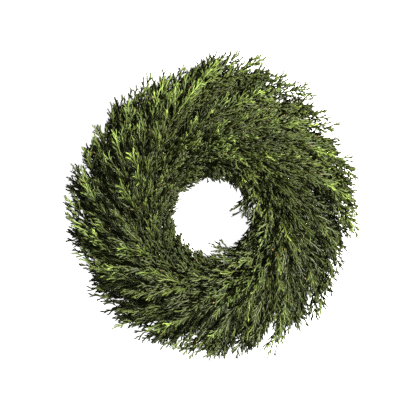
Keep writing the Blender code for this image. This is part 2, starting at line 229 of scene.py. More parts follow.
# Colours, and the patterns on them
GREENS = (
    (0.0, (0.044, 0.072, 0.009)),
    (0.35, (0.073, 0.115, 0.013)),
    (0.70, (0.120, 0.180, 0.020)),
    (1.0, (0.270, 0.366, 0.058)),
)
PALEST = (0.395, 0.525, 0.130)
GREYED, GREYED_SHARE = (0.118, 0.170, 0.066), 0.45  # and how much of it shows in a patch
RUST, RUST_SHARE = (0.240, 0.120, 0.035), 0.55
# Darker deeper in the foliage: painted shade, together with the darker colour of older inner foliage
DEPTH_SHADE_AND_AGE = ((0.0, (1.0, 1.0, 1.0)), (0.13, (0.35, 0.35, 0.30)), (0.5, (0.15, 0.14, 0.11)))
PAINTED_GLOW = (0.0017, 0.0020, 0.0009)  # a faint glow painted on the foliage, standing in for the light that a white room leaves in the deepest shade
BARKS = ((0.3, (0.060, 0.034, 0.018)), (0.55, (0.125, 0.072, 0.038)), (0.8, (0.20, 0.135, 0.075)))
BUD_BROWNS = ((0.0, (0.150, 0.088, 0.026)), (1.0, (0.300, 0.195, 0.065)))
RING_ENAMEL = {
    "dark": (0.030, 0.050, 0.028),
    "light": (0.075, 0.085, 0.065),
    "roughness": 0.38,
    "scale": 60.0,
}
BINDING_LACQUER = {
    "dark": (0.040, 0.070, 0.030),
    "light": (0.110, 0.130, 0.080),
    "roughness": 0.34,
    "scale": 140.0,
}
LEAF_SPACING = 0.0019  # of the scale leaves along a tube
BUD_SCALE_SPACING = 0.0011
GREY_PATCHES, RUST_PATCHES, FINE_MOTTLES, BARK_STREAKS = 16.0, 55.0, 900.0, 420.0  # scales of the noise

# The picture
PHOTO_SIZE = 416
PIXEL = 0.0020  # metres across one of the photograph's pixels, at the wreath
CAMERA_HEIGHT = 3.2
CAMERA_AIM = (-0.007, -0.007, 0.055)
SENSOR = 0.036
LIGHTS = {
    "key": {"place": (2.2, 0.9, 2.0), "size": 0.40, "power": 420.0, "colour": (1.0, 0.98, 0.93)},
    "fill": {"place": (0.3, -2.2, 1.8), "size": 0.7, "power": 66.0, "colour": (0.98, 0.99, 0.96)},
}
LIGHT_AIM = (0, 0, 0.05)
ROOM_LIGHT = 0.20
FLOOR_HALF = 60.0
FLOOR_WHITE = 0.86
FLOOR_GLOW = 0.93


def unit(vectors):
    return vectors / np.maximum(np.linalg.norm(vectors, axis=-1, keepdims=True), 1e-12)


def across(vectors, along):
    """What is left of vectors square to a direction, at length 1."""
    return unit(vectors - along * np.sum(vectors * along, axis=-1, keepdims=True))


def off_middle(points, middle):
    """How far points lie from an upright line through a middle."""
    return np.hypot(points[..., 0] - middle[0], points[..., 1] - middle[1])


def distances(points):
    """How far along a path each of its points lies."""
    return np.concatenate([[0], np.cumsum(np.linalg.norm(np.diff(points, axis=0), axis=1))])


def along_path(points, shares):
    """Points at shares of a path's length."""
    steps = distances(points)
    return np.stack([np.interp(shares * steps[-1], steps, points[:, k]) for k in range(3)], axis=1)


def above_floor(paths, radius):
    """Lifts points in place that a tube of that radius would carry into the floor."""
    paths[..., 2] = np.maximum(paths[..., 2], radius + FLOOR_GAP)


def order_in_runs(count):
    """0, 1, 2 and so on within each run of the given lengths."""
    return np.arange(count.sum()) - np.repeat(np.cumsum(count) - count, count)


# The model's stems and twigs, read from its solids


def welded(node):
    """A solid's points, each place once, and its triangles."""
    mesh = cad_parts[node].data
    points = np.zeros(len(mesh.vertices) * 3, np.float32)
    mesh.vertices.foreach_get("co", points)
    mesh.calc_loop_triangles()
    corners = np.zeros(len(mesh.loop_triangles) * 3, np.int32)
    mesh.loop_triangles.foreach_get("vertices", corners)
    points = points.reshape(-1, 3).astype(float)
    _, first, same = np.unique(np.round(points, 6), axis=0, return_index=True, return_inverse=True)
    return points[first], same.ravel()[corners].reshape(-1, 3)


def corner_angles(points, triangles):
    """The sum of the faces' angles at each point. It is small at the tip of a twig."""
    total = np.zeros(len(points))
    for k in range(3):
        here = points[triangles[:, k]]
        one = unit(points[triangles[:, (k + 1) % 3]] - here)
        two = unit(points[triangles[:, (k + 2) % 3]] - here)
        np.add.at(total, triangles[:, k], np.arccos(np.clip(np.sum(one * two, axis=1), -1, 1)))
    return total


def neighbours(points, triangles):
    """The points that share an edge with each point."""
    near = [set() for _ in points]
    for a, b, c in triangles:
        near[a] |= {b, c}
        near[b] |= {a, c}
        near[c] |= {a, b}
    return near


def read_spray(node):
    """A spray's stem as points with radii, and its twigs as lists of points from root to tip.

    A fork's two tips share two of the points that they stand on, and the stem's tip shares none.
    """
    points, triangles = welded(node)
    near = neighbours(points, triangles)
    tips = [i for i, angle in enumerate(corner_angles(points, triangles)) if angle < TIP_ANGLE]
    twigs, necks, prongs = [], set(), []
    for tip in tips:
        if len(near[tip]) == TWIG_CORNERS:
            twigs.append([points[list(near[tip])].mean(axis=0), points[tip]])
        else:
            prongs.append(tip)
    stem_tip = None
    for tip in prongs:
        pair = [other for other in prongs if other != tip and len(near[other] & near[tip]) == 2]
        if not pair:
            stem_tip = tip
            continue
        neck = near[tip] | near[pair[0]]
        necks |= neck
        if tip < pair[0]:
            base = set().union(*(near[i] for i in neck)) - neck - {tip, pair[0]}
            root = points[list(base)].mean(axis=0)
            fork = points[list(neck)].mean(axis=0)
            twigs.append([root, fork, points[tip]])
            twigs.append([fork, points[pair[0]]])
    seen = set(tips) | necks
    ring = near[stem_tip]
    stem = [points[stem_tip]]
    radii = [0.0]
    while ring:
        seen |= ring
        corners = points[list(ring)]
        stem.append(corners.mean(axis=0))
        radii.append(np.linalg.norm(corners - stem[-1], axis=1).mean())
        ring = set().union(*(near[i] for i in ring)) - seen
    return np.array(stem[::-1]), np.array(radii[::-1]), twigs


# Tubes, which stems, twigs, branchlets and buds are all made of

# The places of the materials in a spray's list
LEAF, BARK, BUD = 0, 1, 2


def tube_faces(rings, sides):
    """The triangles of one tube: its wall, its pointed end and its flat foot."""
    faces = []
    for ring in range(rings - 1):
        for k in range(sides):
            a = ring * sides + k
            b = ring * sides + (k + 1) % sides
            faces += [(a, b, b + sides), (a, b + sides, a + sides)]
    last = (rings - 1) * sides
    faces += [(last + k, last + (k + 1) % sides, rings * sides) for k in range(sides)]
    faces += [(0, k + 1, k) for k in range(1, sides - 1)]
    return np.array(faces)


class Tubes:
    """Gathers tapering tubes and joins them in one mesh, with how deep each point lies in the foliage."""

    def __init__(self, canopy):
        self.canopy = canopy
        self.points, self.faces, self.place, self.look, self.kind = [], [], [], [], []
        self.count = 0

    def add(self, paths, radii, sideways, sides, look, kind):
        """A path is its rings' centres and then its tip. A tube's look is its tint and how pale it is."""
        n, rings = radii.shape
        along = unit(np.gradient(paths, axis=1)[:, :rings])
        side = across(np.broadcast_to(sideways[:, None], along.shape), along)
        over = np.cross(along, side)
        angle = 2 * math.pi * np.arange(sides) / sides
        c, s = np.cos(angle)[:, None], np.sin(angle)[:, None]
        spokes = c * side[:, :, None] + s * over[:, :, None]
        ring = paths[:, :rings, None] + radii[:, :, None, None] * spokes
        points = np.concatenate([ring.reshape(n, rings * sides, 3), paths[:, rings:]], axis=1)
        reach = np.zeros((n, rings + 1))
        reach[:, 1:] = np.cumsum(np.linalg.norm(np.diff(paths, axis=1), axis=2), axis=1)
        size = rings * sides + 1
        place = np.zeros((n, size, 3))
        place[:, :-1, 0] = np.tile(np.cos(angle), rings)
        place[:, :-1, 1] = np.tile(np.sin(angle), rings)
        place[:, :-1, 2] = np.repeat(reach[:, :rings], sides, axis=1)
        place[:, -1, 2] = reach[:, rings]
        looks = np.ones((n, size, 4))
        looks[:, :, :2] = look[:, None]
        looks[:, :, 2] = self.canopy.depth(points)
        looks[:, :-1, 3] = np.repeat(reach[:, :rings] / reach[:, -1:], sides, axis=1)
        faces = tube_faces(rings, sides)
        starts = self.count + np.arange(n) * size
        self.points.append(points.reshape(-1, 3))
        self.faces.append((faces[None] + starts[:, None, None]).reshape(-1, 3))
        self.place.append(place.reshape(-1, 3))
        self.look.append(looks.reshape(-1, 4))
        self.kind.append(np.full(n * len(faces), kind))
        self.count += n * size

    def mesh(self, name, materials):
        points, faces = np.concatenate(self.points), np.concatenate(self.faces)
        mesh = bpy.data.meshes.new(name)
        mesh.vertices.add(len(points))
        mesh.vertices.foreach_set("co", points.astype(np.float32).ravel())
        mesh.loops.add(faces.size)
        mesh.loops.foreach_set("vertex_index", faces.astype(np.int32).ravel())
        mesh.polygons.add(len(faces))
        mesh.polygons.foreach_set("loop_start", np.arange(0, faces.size, 3, dtype=np.int32))
        mesh.polygons.foreach_set("material_index", np.concatenate(self.kind).astype(np.int32))
        for mat in materials:
            mesh.materials.append(mat)
        mesh.update(calc_edges=True)
        place = mesh.attributes.new("scale_place", "FLOAT_VECTOR", "POINT")
        place.data.foreach_set("vector", np.concatenate(self.place).astype(np.float32).ravel())
        look = mesh.attributes.new("look", "FLOAT_COLOR", "POINT")
        look.data.foreach_set("color", np.concatenate(self.look).astype(np.float32).ravel())
        mesh.shade_smooth()
        obj = bpy.data.objects.new(name, mesh)
        bpy.context.scene.collection.objects.link(obj)
        return obj


# The plan of one spray: its stems and twigs


def side_stem(rng, stem, kind, middle):
    """A strong branch that leaves the stem low down and runs beside it, further round the ring."""
    shares = np.linspace(0, 1, SIDE_POINTS)
    path = along_path(stem, SIDE_FROM + (1 - SIDE_FROM) * shares)
    off = path[:, :2] - middle
    reach = np.hypot(off[:, 0], off[:, 1])
    angle = np.arctan2(off[:, 1], off[:, 0])
    angle = angle - math.radians(rng.uniform(*kind["turn"])) * shares**SIDE_SWEEP
    further = rng.uniform(*kind["reach"]) + FULLER * math.cos(angle[-1] - FULL_SIDE)
    reach = reach[0] + (reach - reach[0]) * further
    path[:, 0] = middle[0] + reach * np.cos(angle)
    path[:, 1] = middle[1] + reach * np.sin(angle)
    path[:, 2] += rng.uniform(*kind["lift"]) * np.sin(math.pi / 2 * shares)
    path[:, 2] = np.maximum(path[:, 2], SIDE_LEAST_HEIGHT)
    return path


def more_twigs(rng, stem, twigs, count):
    """Twigs along a stem, each about as long as the nearest of the model's own."""
    foots = np.array([twig[0] for twig in twigs])
    lengths = np.array([np.linalg.norm(twig[-1] - twig[0]) for twig in twigs])
    shares = ((np.arange(count) + rng.uniform(0, 1, count)) / count) ** MORE_CROWDING
    shares = MORE_FROM + (MORE_TO - MORE_FROM) * shares
    roots = along_path(stem, shares)
    way = unit(along_path(stem, shares + NEARBY) - along_path(stem, shares - NEARBY))
    lean = np.radians(rng.uniform(*MORE_LEAN, count))[:, None]
    turn = (np.arange(count) * GOLDEN_TURN + rng.uniform(-TURN_WOBBLE, TURN_WOBBLE, count))[:, None]
    side = across(np.tile([0.0, 0.0, 1.0], (count, 1)), way)
    out = np.cos(turn) * side + np.sin(turn) * np.cross(way, side)
    apart = np.linalg.norm(roots[:, None] - foots[None], axis=2)
    nearest = np.argsort(apart, axis=1)[:, :MORE_NEIGHBOURS]
    length = lengths[nearest].mean(axis=1) * rng.uniform(*MORE_LENGTH, count)
    tips = roots + (np.cos(lean) * way + np.sin(lean) * out) * length[:, None]
    return [[root, tip] for root, tip in zip(roots, tips)]


def edge_sprigs(rng, stems, middle):
    """Short twigs that turn from the inner stems into the hole."""
    sprigs = []
    for stem in stems:
        shares = rng.uniform(*EDGE_SPAN, EDGE_SPRIGS)
        roots = along_path(stem, shares)
        way = unit(along_path(stem, shares + NEARBY) - roots)
        inward = np.zeros_like(roots)
        inward[:, :2] = middle - roots[:, :2]
        inward = unit(inward)
        inward[:, 2] = rng.uniform(*EDGE_LIFT, EDGE_SPRIGS)
        turned = unit(way + inward * rng.uniform(*EDGE_TURN, (EDGE_SPRIGS, 1)))
        tips = roots + turned * rng.uniform(*EDGE_LENGTH, (EDGE_SPRIGS, 1))
        sprigs += [[root, tip] for root, tip in zip(roots, tips)]
    return sprigs


def twig_curves(rng, stems, twigs):
    """Every twig as a curve with a bow away from its stem: its root, run, bow, sway and level side.

    A twig of three points bows through the middle one.
    """
    n = len(twigs)
    stem = np.concatenate(stems)
    root = np.array([twig[0] for twig in twigs])
    run = np.array([twig[-1] - twig[0] for twig in twigs])
    nearest = np.argmin(np.linalg.norm(root[:, None] - stem[None], axis=2), axis=1)
    stem_way = np.concatenate([unit(np.gradient(path, axis=0)) for path in stems])[nearest]
    length = np.linalg.norm(run, axis=1)
    way = run / length[:, None]
    out = across(way, stem_way)
    bow = across(out, way) * (length * rng.uniform(*TWIG_BOW, n))[:, None]
    for i, twig in enumerate(twigs):
        if len(twig) == 3:
            bow[i] = twig[1] - (twig[0] + twig[2]) / 2
    level = FLATNESS * np.array([0.0, 0.0, 1.0]) + rng.normal(0, LEVEL_SPREAD, (n, 3))
    return {
        "root": root,
        "run": run,
        "bow": bow,
        "sway": across(rng.normal(0, 1, (n, 3)), way) * (SWAY * length)[:, None],
        "length": length,
        "normal": across(level, way),
        "tint": rng.uniform(0, 1, n),
    }


def on_curves(curves, owner, part):
    """Points and directions at parts of the curves that own them."""
    u = part[:, None]
    root, run, bow, sway = (curves[name][owner] for name in ("root", "run", "bow", "sway"))
    point = root + run * u + 4 * bow * u * (1 - u) + sway * np.sin(2 * math.pi * u)
    way = unit(run + 4 * bow * (1 - 2 * u) + 2 * math.pi * sway * np.cos(2 * math.pi * u))
    return point, way


def branch_off(rng, curves, owner, part, sign, habit, length):
    """Short curves that leave longer ones to either side and bend forward."""
    n = len(owner)
    start, way = on_curves(curves, owner, part)
    normal = across(curves["normal"][owner], way)
    side = np.cross(normal, way) * sign[:, None]
    roll = rng.normal(-habit["droop"], habit["roll"], n)[:, None]
    lean = np.radians(rng.uniform(*habit["lean"], n))[:, None]
    out = np.cos(roll) * side + np.sin(roll) * normal
    first = np.cos(lean) * way + np.sin(lean) * out
    heading = unit(first + habit["bend"] * way)
    bow = across(first, heading) * length[:, None] * rng.uniform(*FINE_BOW, n)[:, None]
    return {
        "root": start,
        "run": heading * length[:, None],
        "bow": bow,
        "sway": across(rng.normal(0, 1, (n, 3)), heading) * (SWAY * length)[:, None],
        "length": length,
        "normal": across(normal + rng.normal(0, NORMAL_SPREAD, (n, 3)), heading),
        "tint": np.clip(curves["tint"][owner] + rng.normal(0, TINT_WOBBLE, n), 0, 1),
        "part": part,
        "clear": curves["clear"][owner],
    }


def draw_back(curves, share):
    """Shortens each curve to a share of itself, from its tip."""
    for name in ("run", "bow", "sway"):
        curves[name] = curves[name] * share[:, None]
    curves["length"] = curves["length"] * share


def inside_box(curves):
    """Draws back the twigs whose tips stand out of the model's box."""
    low, high = (np.array(corner[:2]) for corner in CAD_BOUNDS)
    root, run = curves["root"][:, :2], curves["run"][:, :2]
    room = np.where(run > 0, high + STAND_OUT - root, root - low + STAND_OUT)
    draw_back(curves, np.min(np.clip(room / np.maximum(np.abs(run), 1e-9), LEAST_KEPT, 1), axis=1))


def outside_hole(rng, curves, middle):
    """Draws back what reaches into the hole, and drops what still does."""
    hole = np.array(middle) + HOLE_SHIFT
    least = curves["clear"] * rng.uniform(1 - HOLE_RAGGED, 1 + HOLE_RAGGED, len(curves["length"]))
    share = np.ones(len(least))
    for _ in range(HOLE_ROUNDS):
        inside = off_middle(curves["root"] + curves["run"] * share[:, None], hole) < least
        share[inside] -= HOLE_TRIM
    keep = off_middle(curves["root"] + curves["run"] * share[:, None], hole) >= least
    draw_back(curves, share)
    return {name: values[keep] for name, values in curves.items()}


def plan_spray(node, number, middle):
    """A spray's stems and twigs, from the model's own and those that fill the gaps."""
    rng = np.random.default_rng(FIRST_SEED + number)
    stem, radii, twigs = read_spray(node)
    side = node.split("_")[1]
    side_stems = [side_stem(rng, stem, kind, np.array(middle)) for kind in SIDE_STEMS[side]]
    grown = twigs + more_twigs(rng, stem, twigs, int(MORE_TWIGS[side] * len(twigs)))
    for path in side_stems:
        off = path[-1, :2] - middle
        fuller = 1 + THIN_FILL * math.cos(math.atan2(off[1], off[0]) - THIN_SIDE)
        grown += more_twigs(rng, path, twigs, int(SIDE_TWIGS[side] * fuller * len(twigs)))
    if side == "inner":
        grown += edge_sprigs(rng, [stem] + side_stems, np.array(middle))
    curves = twig_curves(rng, [stem] + side_stems, grown)
    reaching = rng.uniform(0, 1, len(grown)) < REACHING.get(node, 0)
    curves["clear"] = np.where(reaching, REACH_IN_HOLE.get(node, HOLE_CLEAR), HOLE_CLEAR)
    curves = outside_hole(rng, curves, middle)
    inside_box(curves)
    return {
        "node": node,
        "stem": stem,
        "radii": radii,
        "side_stems": side_stems,
        "twigs": curves,
        "rng": rng,
    }


# How deep each point lies in the foliage, and how near the rim


def rim_share(off):
    """From 0 in the body of the wreath to 1 at its rim."""
    return np.clip((off - RIM_FROM) / RIM_WIDTH, 0, 1)


def rim_fatter(curves, middle):
    """How much fatter curves are for how near the rim their tips stand."""
    return 1 + RIM_FATTER * rim_share(off_middle(curves["root"] + curves["run"], middle))


class Canopy:
    """The height of the top of the foliage over each small square of the floor."""

    def __init__(self, plans, hole):
        self.hole = hole
        shares = np.linspace(0, 1, CANOPY_SAMPLES)
        tops = []
        for plan in plans:
            n = len(plan["twigs"]["length"])
            points, _ = on_curves(plan["twigs"], np.repeat(np.arange(n), CANOPY_SAMPLES), np.tile(shares, n))
            tops.append(points)
        points = np.concatenate(tops)
        self.low = points[:, :2].min(axis=0) - CANOPY_MARGIN
        high = points[:, :2].max(axis=0) + CANOPY_MARGIN
        self.cells = np.ceil((high - self.low) / CANOPY_STEP).astype(int) + 1
        self.heights = np.zeros(self.cells)
        np.maximum.at(self.heights, self.cell(points), points[:, 2])
        around = [(a, b) for a in (-1, 0, 1) for b in (-1, 0, 1)]
        for widen_or_smooth in (np.max, np.mean):
            for _ in range(CANOPY_SPREAD):
                shifted = [np.roll(self.heights, shift, (0, 1)) for shift in around]
                self.heights = widen_or_smooth(shifted, axis=0)
        self.raise_furrows()

    def raise_furrows(self):
        """Lifts what is low to the usual height at its distance from the hole.

        What lies in a furrow then counts as deep, and is painted darker as shade.
        """
        corner = (self.hole - self.low) / CANOPY_STEP
        i, j = np.indices(self.cells)
        away = np.rint(np.hypot(i - corner[0], j - corner[1])).astype(int)
        for ring in range(away.max() + 1):
            here = (away == ring) & (self.heights > 0)
            if here.any():
                usual = np.quantile(self.heights[here], USUAL_SHARE)
                self.heights[here] = np.maximum(self.heights[here], usual)

    def cell(self, points):
        cells = np.rint((points[..., :2] - self.low) / CANOPY_STEP).astype(int)
        cells = np.clip(cells, 0, self.cells - 1)
        return cells[..., 0], cells[..., 1]

    def depth(self, points):
        """From 0 at the top of the foliage to 1 at DEEP below it.

        What stands in the hole counts as deep, so that it is painted in shade, and the rim as less deep than
        it lies, so that its painted shade is lighter.
        """
        deep = np.clip((self.heights[self.cell(points)] - points[..., 2]) / DEEP, 0, 1)
        off = off_middle(points, self.hole)
        deep *= 1 - RIM_SHALLOWER * rim_share(off)
        return np.maximum(deep, HOLE_SHADE * np.clip((HOLE_CLEAR - off) / HOLE_EDGE, 0, 1))


# The growth of one spray


def lay_curves(tubes, curves, pale, base_radius, tip_radius, rings, sides, blunt=1.0):
    """Adds a tube along each curve. Below 1, blunt brings its rings nearer to the tip."""
    n = len(curves["length"])
    shares = np.linspace(0, 1, rings + 1) ** blunt
    owner = np.repeat(np.arange(n), rings + 1)
    points, _ = on_curves(curves, owner, np.tile(shares, n))
    paths = points.reshape(n, rings + 1, 3)
    taper = base_radius[:, None] + (tip_radius - base_radius)[:, None] * shares[None, :rings]
    above_floor(paths[:, :rings], taper)
    above_floor(paths[:, rings:], 0.0)
    look = np.stack([curves["tint"], np.broadcast_to(pale, n)], axis=1)
    tubes.add(paths, taper, curves["normal"], sides, look, LEAF)


def grow_stems(tubes, plan, tint):
    """The stem, bark at its cut end and then clad in scale leaves, and its side stems."""
    shares = np.linspace(0, 1, STEM_RINGS + 1)
    path = along_path(plan["stem"], shares)[None]
    shares = shares[:-1]
    steps = distances(plan["stem"])
    corner = np.interp(shares, steps[:-1] / steps[-1], plan["radii"][:-1])
    radius = ROUND_SHARE * corner + STEM_CLAD * np.clip((shares - CLAD_FROM) / CLAD_OVER, 0, 1)
    above_floor(path[:, :-1], radius[None])
    bare = int(BARE_SHARE * path.shape[1])
    up = np.array([[0.0, 0.0, 1.0]])
    look = np.array([[tint, STEM_PALE]])
    tubes.add(path[:, : bare + 2], radius[None, : bare + 1], up, SIDES["bark"], look, BARK)
    tubes.add(path[:, bare:], radius[None, bare:], up, SIDES["stem"], look, LEAF)
    along = np.linspace(SIDE_FROM, 1, SIDE_POINTS)[:-1]
    thin = SIDE_RADIUS * np.interp(along, shares, radius)
    for side_path in plan["side_stems"]:
        tubes.add(side_path[None], thin[None], up, SIDES["side stem"], look, LEAF)


def grow_twigs(tubes, twigs):
    base = TWIG_BASE_RADIUS * np.clip(twigs["length"] / TWIG_USUAL, *TWIG_SIZES)
    tip = np.full(len(base), TWIG_TIP_RADIUS)
    lay_curves(tubes, twigs, TWIG_PALE, base, tip, TWIG_RINGS, SIDES["twig"])


def lay_fine(tubes, curves, pale, radius):
    """Adds the tubes of branchlets or spurs."""
    lay_curves(tubes, curves, pale, radius, radius * TIP_SHARE, FINE_RINGS, SIDES["branchlet"], BLUNT)


def grow_branchlets(rng, tubes, twigs, middle):
    """The branchlets, to either side of each twig in turn. Returns them and how deep they lie."""
    room = BRANCHLET_TO - BRANCHLET_FROM
    count = np.maximum((twigs["length"] * room / BRANCHLET_GAP).astype(int), BRANCHLET_LEAST)
    owner = np.repeat(np.arange(len(count)), count)
    order = order_in_runs(count)
    wobble = rng.uniform(-BRANCHLET_WOBBLE, BRANCHLET_WOBBLE, len(order))
    part = np.maximum(BRANCHLET_FROM + room * (order + wobble) / count[owner], BRANCHLET_LOWEST)
    sign = np.where(order % 2, 1.0, -1.0)
    longest = np.minimum(twigs["length"] * BRANCHLET_SHARE, BRANCHLET_LONGEST)[owner]
    fall = BRANCHLET_TOP + (1 - BRANCHLET_TOP) * (1 - part) ** BRANCHLET_FALL
    length = longest * fall * rng.uniform(*BRANCHLET_LENGTH, len(owner))
    length *= np.clip(part / FOOT_PART, FOOT_SHARE, 1)
    branchlets = branch_off(rng, twigs, owner, part, sign, BRANCHLET_HABIT, length)
    branchlets = outside_hole(rng, branchlets, middle)
    depth = tubes.canopy.depth(branchlets["root"] + branchlets["run"] / 2)
    radius = BRANCHLET_RADIUS * rng.uniform(*RADIUS_SPREAD, len(depth)) * (1 + OLD_FATTER * depth)
    radius *= rim_fatter(branchlets, middle)
    lay_fine(tubes, branchlets, BRANCHLET_PALE + PALER * branchlets["part"], radius)
    return branchlets, depth


def grow_spurs(rng, tubes, branchlets, depth, middle):
    """The spurs on the longer branchlets, apart from those in deep shade."""
    bearers = np.flatnonzero((branchlets["length"] > LEAST_FOR_SPURS) & (depth < SHADED))
    count = np.clip((branchlets["length"][bearers] / SPUR_GAP).astype(int), 1, SPUR_MOST)
    owner = np.repeat(bearers, count)
    order = order_in_runs(count)
    wobble = rng.uniform(*SPUR_WOBBLE, len(order))
    part = SPUR_FROM + SPUR_OVER * (order + wobble) / np.repeat(count, count)
    sign = np.where((order + owner) % 2, 1.0, -1.0)
    share = rng.uniform(*SPUR_SHARE, len(owner))
    length = branchlets["length"][owner] * share * (SPUR_LOW - SPUR_FALL * part)
    length = np.maximum(length, SPUR_LEAST)
    spurs = branch_off(rng, branchlets, owner, part, sign, SPUR_HABIT, length)
    spurs = outside_hole(rng, spurs, middle)
    radius = SPUR_RADIUS * rng.uniform(*RADIUS_SPREAD, len(spurs["length"]))
    lay_fine(tubes, spurs, SPUR_PALE, radius * rim_fatter(spurs, middle))
    return spurs


def grow_buds(rng, tubes, spurs):
    """A cone bud at the tips of a few spurs."""
    chosen = np.flatnonzero(rng.uniform(0, 1, len(spurs["length"])) < BUD_SHARE)
    if not len(chosen):
        return
    tips = spurs["root"][chosen] + spurs["run"][chosen]
    way = unit(spurs["run"][chosen])
    paths = tips[:, None] + way[:, None] * (BUD_PLACES[None, :, None] - BUD_SUNK) * BUD_LENGTH
    above_floor(paths, BUD_RADIUS)
    radii = np.tile(BUD_RADIUS * BUD_PROFILE, (len(chosen), 1))
    tint = rng.uniform(0, 1, len(chosen))
    look = np.stack([tint, np.zeros(len(chosen))], axis=1)
    tubes.add(paths, radii, spurs["normal"][chosen], SIDES["bud"], look, BUD)


def grow_spray(plan, materials, middle, canopy):
    rng, twigs = plan["rng"], plan["twigs"]
    tubes = Tubes(canopy)
    spray_tint = rng.uniform(0, 1)
    blend = (1 - SPRAY_SHARE) * twigs["tint"] + SPRAY_SHARE * spray_tint
    twigs["tint"] = np.clip(0.5 + TINT_SPREAD * (blend - 0.5), 0, 1)
    grow_stems(tubes, plan, spray_tint)
    grow_twigs(tubes, twigs)
    branchlets, depth = grow_branchlets(rng, tubes, twigs, middle)
    spurs = grow_spurs(rng, tubes, branchlets, depth, middle)
    grow_buds(rng, tubes, spurs)
    return tubes.mesh(plan["node"].replace("spray_", "foliage_"), materials)


# Materials


def grey(value):
    return (value, value, value)


class Shades:
    """A new material with its shader, and a short way to add each kind of node that feeds it."""

    def __init__(self, name):
        self.material = bpy.data.materials.new(name)
        self.material.use_nodes = True
        self.nodes = self.material.node_tree.nodes
        self.links = self.material.node_tree.links
        self.shader = self.nodes["Principled BSDF"].inputs

    def feed(self, socket, value):
        """Sets a socket to a number or a colour, or links it to another node."""
        if isinstance(value, (int, float)):
            socket.default_value = value
        elif isinstance(value, tuple):
            socket.default_value = (*value, 1.0)
        else:
            self.links.new(value, socket)

    def shade(self, **values):
        """Feeds the shader's sockets, named with _ for each space."""
        for name, value in values.items():
            self.feed(self.shader[name.replace("_", " ")], value)

    def attribute(self, name):
        node = self.nodes.new("ShaderNodeAttribute")
        node.attribute_name = name
        return node.outputs

    def look(self):
        """A tube's tint, how pale it is, how deep it lies and how far along it the point is."""
        outputs = self.attribute("look")
        parts = self.nodes.new("ShaderNodeSeparateColor")
        self.links.new(outputs["Color"], parts.inputs[0])
        return *parts.outputs, outputs["Alpha"]

    def maths(self, operation, *values):
        node = self.nodes.new("ShaderNodeMath")
        node.operation = operation
        for socket, value in zip(node.inputs, values):
            self.feed(socket, value)
        return node.outputs[0]

    def ramp(self, value, *stops):
        node = self.nodes.new("ShaderNodeValToRGB")
        elements = node.color_ramp.elements
        while len(elements) < len(stops):
            elements.new(0.5)
        for element, (place, colour) in zip(elements, stops):
            element.position = place
            element.color = (*colour, 1.0)
        self.links.new(value, node.inputs["Fac"])
        return node.outputs["Color"]

    def mix(self, share, first, second, blend="MIX"):
        node = self.nodes.new("ShaderNodeMix")
        node.data_type = "RGBA"
        node.blend_type = blend
        for name, value in (("Factor", share), ("A", first), ("B", second)):
            self.feed(node.inputs[name], value)
        return node.outputs["Result"]

    def noise(self, scale, detail=3.0):
        node = self.nodes.new("ShaderNodeTexNoise")
        node.inputs["Scale"].default_value = scale
        node.inputs["Detail"].default_value = detail
        place = self.nodes.new("ShaderNodeNewGeometry").outputs["Position"]
        self.links.new(place, node.inputs["Vector"])
        return node.outputs["Fac"]

    def scale_leaves(self, spacing):
        """Overlapping scale leaves in four ranks along a tube: 0 at a leaf's foot and 1 at its tip."""
        parts = self.nodes.new("ShaderNodeSeparateXYZ")
        self.links.new(self.attribute("scale_place")["Vector"], parts.inputs[0])
        x, y, z = parts.outputs
        flank = self.maths("GREATER_THAN", self.maths("ABSOLUTE", x), self.maths("ABSOLUTE", y))
        half_step = self.maths("MULTIPLY", flank, 0.5)
        return self.maths("FRACT", self.maths("ADD", self.maths("DIVIDE", z, spacing), half_step))

    def bump(self, height, strength, distance):
        node = self.nodes.new("ShaderNodeBump")
        node.inputs["Strength"].default_value = strength
        node.inputs["Distance"].default_value = distance
        self.links.new(height, node.inputs["Height"])
        self.shade(Normal=node.outputs["Normal"])


def foliage_material():
    shades = Shades("cypress scale leaves")
    tint, pale, depth, along = shades.look()
    green = shades.ramp(tint, *GREENS)
    rib = shades.ramp(along, (0.35, grey(0.80)), (0.9, grey(0.18)))
    tip = shades.ramp(along, (0.55, grey(0)), (1.0, grey(0.18)))
    share = shades.maths("MAXIMUM", shades.maths("MULTIPLY", pale, rib), tip)
    colour = shades.mix(share, green, PALEST)

    patches = shades.ramp(shades.noise(GREY_PATCHES), (0.50, grey(0)), (0.68, grey(1)))
    colour = shades.mix(shades.maths("MULTIPLY", patches, GREYED_SHARE), colour, GREYED)
    mottles = shades.ramp(shades.noise(FINE_MOTTLES, detail=2.0), (0.30, grey(0.86)), (0.65, grey(1.06)))
    colour = shades.mix(1.0, colour, mottles, "MULTIPLY")
    leaves = shades.scale_leaves(LEAF_SPACING)
    edges = shades.ramp(leaves, (0.0, (0.78, 0.78, 0.72)), (0.25, grey(0.98)), (0.9, (1.08, 1.08, 1.04)))
    colour = shades.mix(1.0, colour, edges, "MULTIPLY")
    rusty = shades.ramp(shades.noise(RUST_PATCHES, detail=1.0), (0.70, grey(0)), (0.76, grey(1)))
    colour = shades.mix(shades.maths("MULTIPLY", rusty, RUST_SHARE), colour, RUST)
    # painted shade: the foliage darkens with its depth below the top, which also stands for its older inner
    # growth
    colour = shades.mix(1.0, colour, shades.ramp(depth, *DEPTH_SHADE_AND_AGE), "MULTIPLY")

    shades.shade(Base_Color=colour, Roughness=0.42, Specular_IOR_Level=0.38)
    # painted light: a faint glow on the foliage that lifts its deepest shade
    shades.shade(Emission_Color=PAINTED_GLOW, Emission_Strength=1.0)
    shades.bump(leaves, strength=0.55, distance=0.0003)
    return shades.material


def bark_material():
    shades = Shades("young bark")
    streaks = shades.noise(BARK_STREAKS, detail=4.0)
    shades.shade(Base_Color=shades.ramp(streaks, *BARKS), Roughness=0.78)
    shades.bump(streaks, strength=0.6, distance=0.0004)
    return shades.material


